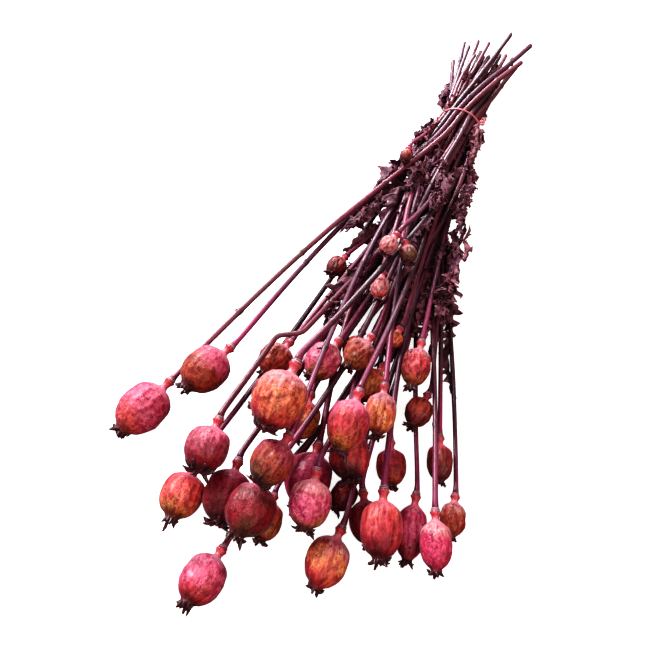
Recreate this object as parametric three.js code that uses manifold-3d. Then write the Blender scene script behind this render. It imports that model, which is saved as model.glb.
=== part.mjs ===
// A tied bunch of dried poppy seed heads, lying on a table. Millimetres, +Z up.
// The stems run along Y: the seed heads fan out towards -Y and the cut ends stand out past the tie
// towards +Y. Places are laid out from the point on the table under the tie, and the finished bunch
// is then moved so that its origin is at the middle of its underside.
import * as THREE from "three";
import { mergeVertices } from "three/addons/utils/BufferGeometryUtils.js";
import Module from "manifold-3d";

// Stems
const STEM_BASE_R = 2.6;
const STEM_TOP_R = 2.0;
const STEM_NODE_STEP = 45;
const STEM_SIDES = 8;
const CUT_END_Y = 110;
const CUT_END_SPREAD_Y = 24;
const CUT_END_SPREAD_X = 30;
const CUT_END_LOW_Z = 14;
const CUT_END_TOP_Z = 46;
// Past the tie a stem strays from it by at most this share of what its head does
const ONWARD_MOST = 0.45;
// The neck under a head: a swollen collar, a narrow waist, then the seed case. Radii are shares of
// the stem's and the collar's, and places are shares of the neck's length.
const COLLAR_R = 1.95;
const COLLAR_PLACE = 0.22;
const WAIST_R = 0.7;
const WAIST_PLACE = 0.7;
const NECK_SHARE = 0.22;
const NECK_LEAST = 1.5;
// A head that lies high leans down by this share of its height over the pile, up to a limit
const DROOP_FROM_Z = 30;
const DROOP_SHARE = 0.15;
const DROOP_MOST = 6;
// The tie: an elastic band round the stems, with a knot on its right side
const BUNCH_R = 20;
const BUNCH_Z = 21.5;
const BAND_R = 0.9;
const BAND_WIDTH = 3.4;
const BAND_CLEARANCE = 0.9;
const BAND_STEPS = 48;
const KNOT_R = 3.2;
const KNOT_ANGLE = 0.7;
const KNOT_TAIL = 11;
// Contact between the pieces while they settle
const SECTION_STEP = 6;
const CLEARANCE = 0.9;
const SETTLE_ROUNDS = 420;
const PRESS_ROUNDS = 120;
const PRESS_SHARE = 0.7;
const TABLE_GAP = 0.2;

// One row for each poppy: where the middle of its seed case lies (x, y, z), the case's width and length,
// the crown's width as a share of the case's, which way the head points (degrees from -Y towards +X),
// and how far the middle of its stem bows out towards +X.
const POPPIES = [
  // the two long stems on the far left, and the heads in front of them
  [-122, -392, 17, 33, 42, 0.55, -17, 12],
  [-93, -349, 27, 32, 38, 0.5, -20, 12],
  [-57, -403, 40, 29, 30, 0.75, 6, 0],
  [-63, -434, 15, 29, 31, 0.5, 7, 4],
  [-36, -422, 17, 31, 36, 0.7, 10, 5],
  [-14, -426, 43, 31, 33, 0.55, 0, 6],
  [-14, -398, 60, 26, 29, 0.65, -10, -3],
  [-21, -473, 14, 27, 32, 0.5, -19, 6],
  // the middle of the pile
  [4, -425, 10, 21, 26, 0.6, 13, 2],
  [22, -409, 40, 26, 30, 0.65, 5, 5],
  [6, -390, 17, 31, 37, 0.6, -2, -3],
  [-14, -366, 70, 33, 38, 0.6, 3, 5],
  [-37, -349, 32, 27, 31, 0.6, -18, 4],
  [-11, -354, 22, 25, 29, 0.6, -1, -5],
  [-48, -319, 24, 25, 27, 0.6, -9, 5],
  [-12, -313, 40, 24, 30, 0.6, -10, 0],
  [9, -300, 44, 20, 25, 0.6, -5, 4],
  [3, -285, 20, 19, 24, 0.6, 0, -4],
  [24, -358, 62, 26, 33, 0.65, 8, 5],
  [41, -336, 46, 21, 29, 0.65, 9, -3],
  [21, -310, 27, 20, 28, 0.65, -17, 5],
  [33, -371, 33, 27, 31, 0.65, 6, -4],
  [35, -388, 9, 18, 22, 0.6, 5, 3],
  [50, -432, 14, 27, 32, 0.5, 10, -5],
  // the right side
  [47, -401, 12, 23, 28, 0.6, 9, -2],
  [68, -404, 38, 26, 35, 0.6, 12, -5],
  [60, -357, 12, 21, 26, 0.6, 20, -4],
  [62, -314, 23, 19, 23, 0.75, 3, 4],
  [49, -289, 38, 20, 30, 0.65, 7, -4],
  [87, -392, 12, 20, 36, 0.6, 10, -6],
  [101, -397, 33, 20, 29, 0.6, 22, -6],
  [107, -371, 11, 17, 23, 0.6, 24, -8],
  [91, -339, 10, 18, 27, 0.6, 18, -6],
  // the small late heads on short stems, near the leaves
  [1, -215, 67, 14, 15, 0.7, -5, 2],
  [15, -214, 66, 13, 15, 0.7, 0, -2],
  [4, -241, 47, 14, 18, 0.7, 6, 3],
  [28, -273, 36, 12, 14, 0.6, -10, 2],
  [-45, -219, 22, 16, 19, 0.75, 0, 4],
  [-26, -98, 50, 11, 12, 0.5, -3, 2],
];

// One row for each dried leaf, crumpled into a long roll beside the stems: where its middle lies,
// its length and width, and which way it points (degrees from -Y towards +X).
const LEAVES = [
  // down the right side
  [21, -38, 34, 58, 11, 12],
  [30, -88, 26, 66, 13, 14],
  [38, -128, 40, 58, 12, 12],
  [46, -164, 30, 62, 12, 10],
  [50, -214, 34, 60, 12, 4],
  // down the left side
  [-21, -44, 30, 56, 11, -14],
  [-33, -96, 30, 60, 12, -16],
  [-44, -138, 18, 62, 13, -14],
  [-46, -166, 34, 54, 12, -20],
  [-30, -214, 14, 62, 12, -12],
  // among the stems
  [-12, -118, 46, 60, 11, -4],
  [10, -122, 48, 62, 11, 6],
  [12, -182, 30, 64, 11, 4],
  [-14, -246, 16, 64, 12, -6],
  [34, -226, 20, 62, 12, 6],
  [22, -252, 12, 60, 10, 2],
  // underneath, and past the tie
  [-4, -66, 5, 60, 8, 0],
  [12, -140, 6, 66, 9, 6],
  [-10, -190, 6, 60, 9, -4],
  [-18, 56, 8, 46, 9, 10],
];

// A repeatable stream of numbers from 0 to 1.
function stream(seed) {
  let state = seed;
  return () => {
    state = (state * 1664525 + 1013904223) % 4294967296;
    return state / 4294967296;
  };
}
const varied = stream(7);

// The third poppy's stem is kinked just behind its head.
const KINKED_POPPY = 2;
const KINK = [
  [-50, -297, 36],
  [-62, -306, 36],
];

// The seed case and crown in a unit case: [share of the case's length, share of its half width].
const CASE_OUTLINE = [
  [0.03, 0.45],
  [0.14, 0.82],
  [0.4, 1],
  [0.68, 0.93],
  [0.87, 0.64],
  [0.96, 0.36],
];
const CROWN_THICKNESS = 0.07;

// Outline of a poppy from the cut end to the top of its crown, as [distance along the axis, radius].
function poppyOutline(poppy) {
  const half = poppy.width / 2;
  const neck = poppy.neck;
  const out = [[0, 0]];
  const stemEnd = poppy.stemLengths.at(-1);
  poppy.stemLengths.forEach((s) => out.push([s, poppy.stemRadius(s / stemEnd)]));
  const collar = poppy.stemRadius(1) * COLLAR_R;
  const waist = collar * WAIST_R;
  out.push([stemEnd + neck * COLLAR_PLACE, collar], [stemEnd + neck * WAIST_PLACE, waist]);
  for (const [along, wide] of CASE_OUTLINE) {
    out.push([stemEnd + neck + along * poppy.length, Math.max(waist, wide * half)]);
  }
  const crown = poppy.crown * half;
  const tip = stemEnd + neck + poppy.length;
  out.push([tip, crown], [tip + CROWN_THICKNESS * poppy.length, crown * 0.5]);
  out.push([tip + CROWN_THICKNESS * poppy.length, 0]);
  return out;
}

// Straight-line interpolation in a list of [place, value] pairs in rising order of place.
function valueAt(pairs, place) {
  if (place <= pairs[0][0]) return pairs[0][1];
  for (let i = 1; i < pairs.length; i += 1) {
    const [a, va] = pairs[i - 1];
    const [b, vb] = pairs[i];
    if (place <= b) return b > a ? va + ((vb - va) * (place - a)) / (b - a) : vb;
  }
  return pairs.at(-1)[1];
}

// The width of a seed case whose stem has the radii given above.
const COMMON_WIDTH = 28;

function poppyFrom([x, y, z, width, length, crown, heading, bow], index) {
  const turn = THREE.MathUtils.degToRad(heading);
  const neck = NECK_SHARE * length + NECK_LEAST;
  const ahead = length / 2;
  const behind = length / 2 + neck;
  const collar = new THREE.Vector3(x - Math.sin(turn) * behind, y + Math.cos(turn) * behind, z);
  const tip = new THREE.Vector3(x + Math.sin(turn) * ahead, y - Math.cos(turn) * ahead, z);
  const droop = THREE.MathUtils.clamp((z - DROOP_FROM_Z) * DROOP_SHARE, 0, DROOP_MOST);
  tip.z -= droop;
  collar.z += droop;
  const cutY = CUT_END_Y + (varied() - 0.5) * 2 * CUT_END_SPREAD_Y;
  const size = 0.55 + 0.45 * THREE.MathUtils.clamp(width / COMMON_WIDTH, 0.75, 1.15);
  return {
    name: `poppy_${String(index + 1).padStart(2, "0")}`,
    width,
    length,
    crown,
    neck,
    collar,
    tip,
    cutY,
    bow,
    kink: index === KINKED_POPPY ? KINK : [],
    firmness: 1,
    stemRadius: (share) => THREE.MathUtils.lerp(STEM_BASE_R, STEM_TOP_R, share) * size,
  };
}

// How far a stem's place in the tie follows the way it leads, sideways and in height, how far it
// follows the height of its head, and how far it strays by chance, as shares of the bunch's radius.
const SLOT_SIDEWAYS = 1.6;
const SLOT_CROSSING = -1.4;
const SLOT_RISE = 0.5;
const SLOT_STRAY = 0.5;
const PILE_MIDDLE_Z = 30;
const PILE_HALF_HEIGHT = 40;

// Where a stem crosses the tie. Stems that lead left cross over those that lead right, so that
// beyond the tie the cut ends fan out the other way.
function tieSlot({ collar }) {
  const lean = collar.x / -collar.y;
  const rise = (collar.z - PILE_MIDDLE_Z) / PILE_HALF_HEIGHT;
  const across = SLOT_SIDEWAYS * lean + SLOT_STRAY * (varied() - 0.5);
  const up = SLOT_CROSSING * lean + SLOT_RISE * rise + SLOT_STRAY * (varied() - 0.5);
  return [BUNCH_R * across, BUNCH_Z + BUNCH_R * up];
}

// The axis of a poppy as nodes from the cut end to the crown: through its place in the tie and any
// kink, then straight on through the head.
function layOut(poppy) {
  const { collar, tip, cutY, bow, kink } = poppy;
  const [slotX, slotZ] = tieSlot(poppy);
  const onward = -Math.min(cutY / -collar.y, ONWARD_MOST);
  const cutEnd = [
    THREE.MathUtils.clamp(slotX + (collar.x - slotX) * onward, -CUT_END_SPREAD_X, CUT_END_SPREAD_X),
    cutY,
    THREE.MathUtils.clamp(slotZ + (collar.z - slotZ) * onward, CUT_END_LOW_Z, CUT_END_TOP_Z),
  ];
  const route = [cutEnd, [slotX, 0, slotZ], ...kink, collar.toArray()];
  const nodes = [];
  for (let leg = 1; leg < route.length; leg += 1) {
    const [from, to] = [route[leg - 1], route[leg]];
    const steps = Math.max(1, Math.round((from[1] - to[1]) / STEM_NODE_STEP));
    for (let i = leg === 1 ? 0 : 1; i <= steps; i += 1) {
      const [x, y, z] = from.map((value, axis) => THREE.MathUtils.lerp(value, to[axis], i / steps));
      const sway = y < 0 ? bow * Math.sin(Math.PI * Math.sqrt(y / collar.y)) : 0;
      nodes.push({ x: x + sway, y, z: Math.max(z, STEM_BASE_R + 1) });
    }
  }
  const collarNode = nodes.length - 1;
  nodes.push({ x: tip.x, y: tip.y, z: tip.z });
  poppy.nodes = nodes;
  poppy.aims = [
    [collarNode, collar.x, collar.z],
    [collarNode + 1, tip.x, tip.z],
  ];
  return withRestBends(measured(poppy), collarNode);
}

// Notes how far along its axis each node of a poppy's stem lies, and the outline that follows.
function measured(poppy) {
  poppy.stemLengths = poppy.nodes.slice(0, -1).map((node, i) => distanceAlong(poppy.nodes, i));
  poppy.outline = poppyOutline(poppy);
  return poppy;
}

// Notes the bend that a piece has at each of its nodes, up to a last one, as the shape it springs
// back to.
function withRestBends(piece, last) {
  piece.bends = [];
  for (let i = 1; i < last; i += 1) {
    const [before, node, after] = piece.nodes.slice(i - 1, i + 2);
    piece.bends.push([i, before.x - 2 * node.x + after.x, before.z - 2 * node.z + after.z]);
  }
  return piece;
}

function distanceAlong(nodes, index) {
  let total = 0;
  for (let i = 1; i <= index; i += 1) {
    const a = nodes[i - 1];
    const b = nodes[i];
    total += Math.hypot(b.x - a.x, b.y - a.y, b.z - a.z);
  }
  return total;
}

// A crumpled leaf: a flattened roll, widest past its middle, along four nodes.
const LEAF_OUTLINE = [
  [0, 0],
  [0.02, 0.25],
  [0.2, 0.75],
  [0.45, 1],
  [0.7, 0.9],
  [0.9, 0.55],
  [0.99, 0.15],
  [1, 0],
];
const LEAF_NODES = 4;
const LEAF_FIRMNESS = 0.15;

function leafFrom([x, y, z, length, width, heading], index) {
  const turn = THREE.MathUtils.degToRad(heading);
  const nodes = [];
  for (let i = 0; i < LEAF_NODES; i += 1) {
    const along = (i / (LEAF_NODES - 1) - 0.5) * length;
    nodes.push({
      x: x + Math.sin(turn) * along,
      y: y - Math.cos(turn) * along,
      z: Math.max(z, width / 2 + TABLE_GAP),
    });
  }
  const leaf = {
    name: `leaf_${String(index + 1).padStart(2, "0")}`,
    nodes,
    aims: nodes.map((node, i) => [i, node.x, node.z]),
    outline: LEAF_OUTLINE.map(([along, wide]) => [along * length, (wide * width) / 2]),
    firmness: LEAF_FIRMNESS,
  };
  return withRestBends(leaf, LEAF_NODES - 1);
}

// Each piece's round sections where it crosses the planes y = n * SECTION_STEP: between which two
// nodes the section's centre lies, how far along, and its radius.
function sectionsOf(piece) {
  const { nodes, outline } = piece;
  const lengths = nodes.map((node, i) => distanceAlong(nodes, i));
  const alongAtY = nodes.map((node, i) => [-node.y, lengths[i]]);
  const yAtAlong = lengths.map((s, i) => [s, nodes[i].y]);
  const total = outline.at(-1)[0];
  const sections = [];
  const last = Math.floor(nodes[0].y / SECTION_STEP);
  for (let n = last; n * SECTION_STEP > nodes.at(-1).y - SECTION_STEP; n -= 1) {
    const s = Math.min(valueAt(alongAtY, -n * SECTION_STEP), total);
    const near = [-2, 0, 2].map((d) => valueAt(outline, s + d));
    const r = Math.max(...near);
    const growth = (near[2] - near[0]) / 4;
    const centreY = valueAt(yAtAlong, THREE.MathUtils.clamp(s + r * growth, 0, total));
    let i = 0;
    while (i < nodes.length - 2 && nodes[i + 1].y > centreY) i += 1;
    const t = THREE.MathUtils.clamp(
      (nodes[i].y - centreY) / (nodes[i].y - nodes[i + 1].y), 0, 1);
    sections.push({ n, t, r, weight: r * piece.firmness, a: nodes[i], b: nodes[i + 1] });
  }
  return sections;
}

const centreX = (c) => c.a.x + (c.b.x - c.a.x) * c.t;
const centreZ = (c) => c.a.z + (c.b.z - c.a.z) * c.t;

function shift(section, dx, dz) {
  const near = 1 - section.t;
  const share = near * near + section.t * section.t;
  section.a.x += (dx * near) / share;
  section.a.z += (dz * near) / share;
  section.b.x += (dx * section.t) / share;
  section.b.z += (dz * section.t) / share;
}

// The wider section of a slanting piece, as a factor on its radius.
function slant(c) {
  const run = c.a.y - c.b.y;
  return Math.sqrt(1 + ((c.b.x - c.a.x) ** 2 + (c.b.z - c.a.z) ** 2) / (run * run));
}

// Moves two sections that touch apart, the lighter one the most.
function pressApart(a, b) {
  const dx = centreX(b) - centreX(a);
  const dz = centreZ(b) - centreZ(a);
  const reach = a.r * slant(a) + b.r * slant(b) + CLEARANCE;
  const apart = Math.hypot(dx, dz);
  if (apart >= reach) return;
  const [ux, uz] = apart > 1e-3 ? [dx / apart, dz / apart] : [0, 1];
  const push = (reach - apart) * PRESS_SHARE;
  const shareA = b.weight / (a.weight + b.weight);
  shift(a, -ux * push * shareA, -uz * push * shareA);
  shift(b, ux * push * (1 - shareA), uz * push * (1 - shareA));
}

function keepOffTable(c) {
  const low = c.r * slant(c) + TABLE_GAP - centreZ(c);
  if (low > 0) shift(c, 0, low);
}

// Holds the sections near the tie inside its loop.
function holdInTie(c) {
  const dx = centreX(c);
  const dz = centreZ(c) - BUNCH_Z;
  const away = Math.hypot(dx, dz);
  const out = away + c.r - BUNCH_R;
  if (out > 0) shift(c, (-dx / away) * out * 0.5, (-dz / away) * out * 0.5);
}

const SPRING = 0.25;
const AIM_PULL = 0.04;

function springBack({ nodes, bends }) {
  for (const [i, restX, restZ] of bends) {
    for (const [axis, rest] of [["x", restX], ["z", restZ]]) {
      const bend = nodes[i - 1][axis] - 2 * nodes[i][axis] + nodes[i + 1][axis] - rest;
      nodes[i][axis] += (bend * SPRING) / 2;
      nodes[i - 1][axis] -= (bend * SPRING) / 4;
      nodes[i + 1][axis] -= (bend * SPRING) / 4;
    }
  }
}

// Lets the pieces settle against each other, the table and the tie, from where they were laid out.
function settle(pieces) {
  const planes = new Map();
  for (const piece of pieces) {
    for (const section of sectionsOf(piece)) {
      if (!planes.has(section.n)) planes.set(section.n, []);
      planes.get(section.n).push(section);
    }
  }
  for (let round = 0; round < SETTLE_ROUNDS + PRESS_ROUNDS; round += 1) {
    if (round < SETTLE_ROUNDS) {
      for (const piece of pieces) {
        springBack(piece);
        for (const [i, x, z] of piece.aims) {
          piece.nodes[i].x += (x - piece.nodes[i].x) * AIM_PULL;
          piece.nodes[i].z += (z - piece.nodes[i].z) * AIM_PULL;
        }
      }
    }
    for (const [n, sections] of planes) {
      for (let i = 0; i < sections.length; i += 1) {
        for (let j = i + 1; j < sections.length; j += 1) pressApart(sections[i], sections[j]);
      }
      if (Math.abs(n) <= 1) sections.forEach(holdInTie);
      sections.forEach(keepOffTable);
    }
  }
}

// Bends a shape turned about the Y axis so that it follows a piece's nodes.
function bendAlong(geometry, piece) {
  const { nodes } = piece;
  const points = nodes.map((node) => new THREE.Vector3(node.x, node.y, node.z));
  const lengths = points.map((point, i) => distanceAlong(nodes, i));
  const ways = points.slice(1).map((point, i) => point.clone().sub(points[i]).normalize());
  const position = geometry.getAttribute("position");
  const up = new THREE.Vector3(0, 0, 1);
  for (let v = 0; v < position.count; v += 1) {
    const s = position.getY(v);
    let i = 0;
    while (i < ways.length - 1 && s > lengths[i + 1] + 1e-6) i += 1;
    const way = ways[i].clone();
    if (i < ways.length - 1 && Math.abs(s - lengths[i + 1]) < 1e-6) way.add(ways[i + 1]).normalize();
    const side = new THREE.Vector3().crossVectors(way, up).normalize();
    const top = new THREE.Vector3().crossVectors(side, way);
    const centre = points[i].clone().addScaledVector(ways[i], s - lengths[i]);
    centre.addScaledVector(side, position.getX(v)).addScaledVector(top, position.getZ(v));
    position.setXYZ(v, centre.x, centre.y, centre.z);
  }
  return geometry;
}

function solidFrom(outline, sides) {
  return new THREE.LatheGeometry(outline.map(([s, r]) => new THREE.Vector2(r, s)), sides);
}

const POPPY_LOOK = new THREE.MeshStandardMaterial({ color: 0xb8343f, roughness: 0.55, metalness: 0 });
const LEAF_LOOK = new THREE.MeshStandardMaterial({ color: 0x3a1420, roughness: 0.85, metalness: 0 });
const BAND_LOOK = new THREE.MeshStandardMaterial({ color: 0xd8687c, roughness: 0.7, metalness: 0 });

function meshOf(name, geometry, look) {
  const mesh = new THREE.Mesh(geometry, look);
  mesh.name = name;
  return mesh;
}

function poppyMesh(poppy) {
  const { name, outline } = measured(poppy);
  return meshOf(name, bendAlong(solidFrom(outline, STEM_SIDES), poppy), POPPY_LOOK);
}

const LEAF_SIDES = 7;
const LEAF_CRUMPLE = 0.34;
const LEAF_FLATNESS = 0.7;

// A leaf's roll is creased: its sections shrink and grow round the roll, and never pass its outline.
function leafMesh(leaf, index) {
  const geometry = solidFrom(leaf.outline, LEAF_SIDES);
  const position = geometry.getAttribute("position");
  for (let v = 0; v < position.count; v += 1) {
    const angle = Math.atan2(position.getZ(v), position.getX(v));
    const crease = Math.sin(3 * angle + position.getY(v) * 0.16 + index * 2.1);
    const keep = 1 - LEAF_CRUMPLE * (0.5 + 0.5 * crease);
    position.setX(v, position.getX(v) * keep);
    position.setZ(v, position.getZ(v) * keep * LEAF_FLATNESS);
  }
  return meshOf(leaf.name, bendAlong(geometry, leaf), LEAF_LOOK);
}

// The line that a taut loop takes round the stems at the tie: at each angle, the stem that stands
// out the furthest, and the point on its surface there.
function loopPoint(poppies, angle) {
  const ux = Math.cos(angle);
  const uz = Math.sin(angle);
  let best = null;
  for (const poppy of poppies) {
    const i = poppy.nodes.findIndex((node) => node.y < 0);
    const a = poppy.nodes[i - 1];
    const b = poppy.nodes[i];
    const t = a.y / (a.y - b.y);
    const x = a.x + (b.x - a.x) * t;
    const z = a.z + (b.z - a.z) * t;
    const r = poppy.stemRadius(distanceAlong(poppy.nodes, i) / poppy.stemLengths.at(-1));
    const reach = x * ux + z * uz + r;
    if (!best || reach > best.reach) best = { reach, x: x + ux * r, z: z + uz * r };
  }
  return best;
}

function tieLoop(poppies) {
  const geometry = new THREE.TorusGeometry(BUNCH_R, 1, 6, BAND_STEPS);
  const position = geometry.getAttribute("position");
  for (let v = 0; v < position.count; v += 1) {
    const x = position.getX(v);
    const y = position.getY(v);
    const angle = Math.atan2(y, x);
    const out = Math.hypot(x, y) - BUNCH_R;
    const line = loopPoint(poppies, angle);
    const reach = BAND_CLEARANCE + BAND_R + out * BAND_R;
    position.setXYZ(
      v,
      line.x + Math.cos(angle) * reach,
      -position.getZ(v) * (BAND_WIDTH / 2),
      line.z + Math.sin(angle) * reach,
    );
  }
  return geometry;
}

const wasm = await Module();
wasm.setup();

function manifoldOf(geometry) {
  const bare = new THREE.BufferGeometry().setAttribute("position", geometry.getAttribute("position"));
  bare.setIndex(geometry.getIndex());
  const merged = mergeVertices(bare, 1e-3);
  return new wasm.Manifold(
    new wasm.Mesh({
      numProp: 3,
      vertProperties: new Float32Array(merged.getAttribute("position").array),
      triVerts: new Uint32Array(merged.getIndex().array),
    }),
  );
}

function geometryOf(manifold) {
  const { vertProperties, triVerts } = manifold.getMesh();
  return new THREE.BufferGeometry()
    .setAttribute("position", new THREE.BufferAttribute(vertProperties, 3))
    .setIndex(new THREE.BufferAttribute(triVerts, 1));
}

// The knot sits on the loop's right shoulder, with two short tails.
function tieMesh(poppies) {
  const line = loopPoint(poppies, KNOT_ANGLE);
  const out = new THREE.Vector3(Math.cos(KNOT_ANGLE), 0, Math.sin(KNOT_ANGLE));
  const centre = new THREE.Vector3(line.x, 0, line.z).addScaledVector(out, BAND_CLEARANCE + KNOT_R);
  const knot = new THREE.IcosahedronGeometry(KNOT_R, 1).translate(centre.x, centre.y, centre.z);
  let solid = manifoldOf(tieLoop(poppies)).add(manifoldOf(knot));
  for (const side of [-1, 1]) {
    const tail = new THREE.CylinderGeometry(BAND_R, BAND_R, KNOT_TAIL, 6);
    tail.translate(0, KNOT_TAIL / 2, 0);
    const way = new THREE.Vector3(out.x * 0.7, side, out.z * 0.7).normalize();
    tail.applyQuaternion(new THREE.Quaternion().setFromUnitVectors(new THREE.Vector3(0, 1, 0), way));
    tail.translate(centre.x, centre.y, centre.z);
    solid = solid.add(manifoldOf(tail));
  }
  return meshOf("tie", geometryOf(solid), BAND_LOOK);
}

const poppies = POPPIES.map(poppyFrom).map(layOut);
const leaves = LEAVES.map(leafFrom);
settle([...poppies, ...leaves]);

const bunch = new THREE.Group();
bunch.add(...poppies.map(poppyMesh), ...leaves.map(leafMesh), tieMesh(poppies));
const box = new THREE.Box3().setFromObject(bunch);
bunch.position.set(-(box.min.x + box.max.x) / 2, -(box.min.y + box.max.y) / 2, -box.min.z);

export default bunch;
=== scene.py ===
"""The looks of a tied bunch of dried, dyed poppy seed heads that lies on a pale table.

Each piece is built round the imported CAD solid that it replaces. The solid's cross rings give the line
and the width of a stem, a seed head or a leaf, and the fine surface is made round them here. Sizes are
in millimetres, and MM turns them into Blender's metres.
"""

import math
from collections import namedtuple

import bmesh
import bpy
import numpy as np
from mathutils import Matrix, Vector, noise


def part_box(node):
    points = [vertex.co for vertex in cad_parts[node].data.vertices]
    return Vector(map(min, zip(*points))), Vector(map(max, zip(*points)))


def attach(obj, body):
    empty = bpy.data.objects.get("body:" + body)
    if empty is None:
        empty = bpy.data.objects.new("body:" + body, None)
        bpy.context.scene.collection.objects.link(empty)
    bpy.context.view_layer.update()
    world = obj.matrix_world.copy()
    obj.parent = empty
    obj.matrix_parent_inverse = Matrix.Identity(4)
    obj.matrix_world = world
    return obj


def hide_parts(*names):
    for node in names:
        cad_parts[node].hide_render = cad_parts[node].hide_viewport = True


MM = 0.001
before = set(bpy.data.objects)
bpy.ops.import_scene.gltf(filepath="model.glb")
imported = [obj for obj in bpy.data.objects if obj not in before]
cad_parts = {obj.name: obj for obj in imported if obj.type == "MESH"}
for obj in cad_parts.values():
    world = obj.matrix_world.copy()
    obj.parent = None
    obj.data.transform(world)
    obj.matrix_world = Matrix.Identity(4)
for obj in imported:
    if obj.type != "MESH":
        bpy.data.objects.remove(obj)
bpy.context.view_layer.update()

# ------------------------ sizes

# Camera, placed from the point on the table under the tie
TIE_FOOT_X = 11.0
CAMERA_HEIGHT = 385
CAMERA_LEFT = 137.5
CAMERA_BACK = 448.2
CAMERA_HEADING = 24
CAMERA_PITCH = 60
CAMERA_LENS = 29.08
SENSOR_WIDTH = 36

# Nothing reaches lower than this over the table
FLOOR_GAP = 0.05

# Stems
STEM_COLUMNS = 14
STEM_STEP = 2.4
STEM_END_GAP = 1.9
STRAIGHT_UNDER_HEAD = 7.0
CLEAR_OF_HEAD = 12
GENTLE_BEND = 20
SHARP_BEND = 4
FLARE_LENGTH = 7
FLARE_SHARE = 0.66
FLUTE_DEPTH = 0.045
PINK_END_LENGTH = 75
FIRST_NODE = (30, 90)
LAST_NODE_GAP = 40
STEM_NODE_GAP = (55, 120)
STEM_NODE_SWELL = 0.3
STEM_NODE_LENGTH = 1.7
STUB_CHANCE = 0.45
STUB_LENGTHS = (3, 5.5)

# Seed heads. There are COLUMNS_PER_RAY columns for each ray of the crown, and rows HEAD_STEP apart.
# Depths and heights are shares of the radius.
COLUMNS_PER_RAY = 10
HEAD_STEP = 0.8
FULL_WAIST_PLACE = 4.5
RIB_HEIGHT = 0.018
DENT_DEPTH = 0.05
FACET_DEPTH = 0.035
PUCKER_DEPTH = 0.010
WRINKLE_DEPTH = 0.12
PUCKER_SIZE = 1.7
FRILL_SIZE = 2.6
NOISE_SPAN = 500
CROWN_ROWS = 7
CROWN_REACH = 1.15
CROWN_SINK = 0.4
# Painted shade on the seed heads: how dark the grooves between ribs and the hollows of puckers are made,
# and the tint of that shade
SEAM_SHADE = 0.4
PUCKER_SHADE = 0.3
SHADE_TINT = (0.55, 0.75, 0.65)
MARK_WIDTH = 2.1
MARK_LENGTH = 2.8
MARK_TINT = (0.62, 0.36, 0.48)

# Leaves
LEAF_ROWS = 46
LEAF_COLUMNS = 16
SHEETS_IN_LEAF = 5
CREASES = ((13, 4.0), (6, 1.5), (3, 0.8))
LOW_LEAF_HEIGHT = 12
LOW_LEAF_WIDTH = 2.8
HIGH_LEAF_WIDTH = 2.0
STEM_LEAF_LENGTHS = (38, 70)
STEM_LEAF_WIDTHS = (7, 13)
STEM_LEAF_TOPS = (250, 205, 150, 105, 60, 20, -20)
STEM_LEAF_CHANCE = 0.75
HIGH_LEAF_TOP = 170
LEFT_LEAF_LOW = 95
LEFT_LEAF_EXTRA = 0.4
STEM_LEAF_SEED = 5
LEAF_THICKNESS = 0.35
LOWEST_LEAF = 0.4

# Light
TONE_CURVE = [(0.03, 0.010), (0.09, 0.052), (0.2, 0.16), (0.4, 0.385), (0.7, 0.715)]
FLOOR_GLOW = 0.8
FLOOR_EDGE = 12.0
LIT_SPOT = (0, -100, 20)
SKY_STRENGTH = 0.65
LEFT_SKY = (0.95, 0.95, 1.05)
RIGHT_SKY = (1.06, 0.92, 0.82)
GROUND_LIGHT = (0.16, 0.09, 0.09)

# Soft lights: name, how far to the right of the frame's middle, ahead of it and up, size in metres,
# power in watts, and colour
LIGHTS = [
    ("key", -850, 750, 900, 0.5, 38, (1.0, 0.97, 1.0)),
    ("rim", -100, 1200, 450, 0.5, 20, (1.0, 0.97, 1.02)),
    ("fill", 400, -700, 900, 1.0, 6, (1.05, 0.93, 0.85)),
]

# The tie
BAND_RADIUS = 0.6
BAND_LIFT = 0.5
BAND_TILT = 0.3
BAND_POINTS = 72
BAND_STEP = 1.2
BAND_TURNS = ((-1.3, 1.0), (1.3, -1.2))
TUBE_COLUMNS = 8
KNOT_LIFT = 2.0
KNOT_PLACE = 0.11
KNOT_TURNS = ((0.5, 3.6), (-0.6, 3.2))

# Dyes, as linear colours
ROSE = (0.78, 0.125, 0.21)
PINK = (0.7, 0.06, 0.14)
CORAL = (0.76, 0.1, 0.085)
ORANGE = (0.84, 0.21, 0.1)
RED = (0.56, 0.048, 0.056)
CRIMSON = (0.3, 0.013, 0.026)
MAGENTA = (0.32, 0.012, 0.06)
MAROON = (0.055, 0.004, 0.007)
BROWN = (0.42, 0.066, 0.036)
OLIVE = (0.4, 0.13, 0.042)
GOLD = (0.66, 0.21, 0.072)
MAUVE = (0.66, 0.17, 0.26)
DUSTY = (0.76, 0.29, 0.28)
WINE = (0.16, 0.018, 0.020)
RUST = (0.26, 0.034, 0.026)
KHAKI = (0.17, 0.060, 0.030)
PLUM = (0.46, 0.075, 0.11)
PALE = (0.74, 0.35, 0.36)
NECK_DYE = (0.48, 0.042, 0.064)
BASE_DYE = (0.7, 0.17, 0.23)
RIM_DYE = (0.46, 0.17, 0.21)
GROOVE_DYE = (0.010, 0.002, 0.004)
PALE_RING_DYE = (0.46, 0.28, 0.32)
CROWN_DYE = (0.040, 0.004, 0.008)
# Painted highlight along the ridges on top of the crown's rays
CROWN_RIDGE_HIGHLIGHT_DYE = (0.16, 0.014, 0.024)
PITH_DYE = (0.35, 0.12, 0.11)
STEM_TOP_DYE = (0.27, 0.02, 0.085)
STEM_DYES = [(0.105, 0.019, 0.042), (0.155, 0.025, 0.047), (0.056, 0.011, 0.025), (0.095, 0.017, 0.046)]
LEAF_DYES = [(0.110, 0.035, 0.058), (0.066, 0.021, 0.038), (0.19, 0.060, 0.080)]
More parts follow.
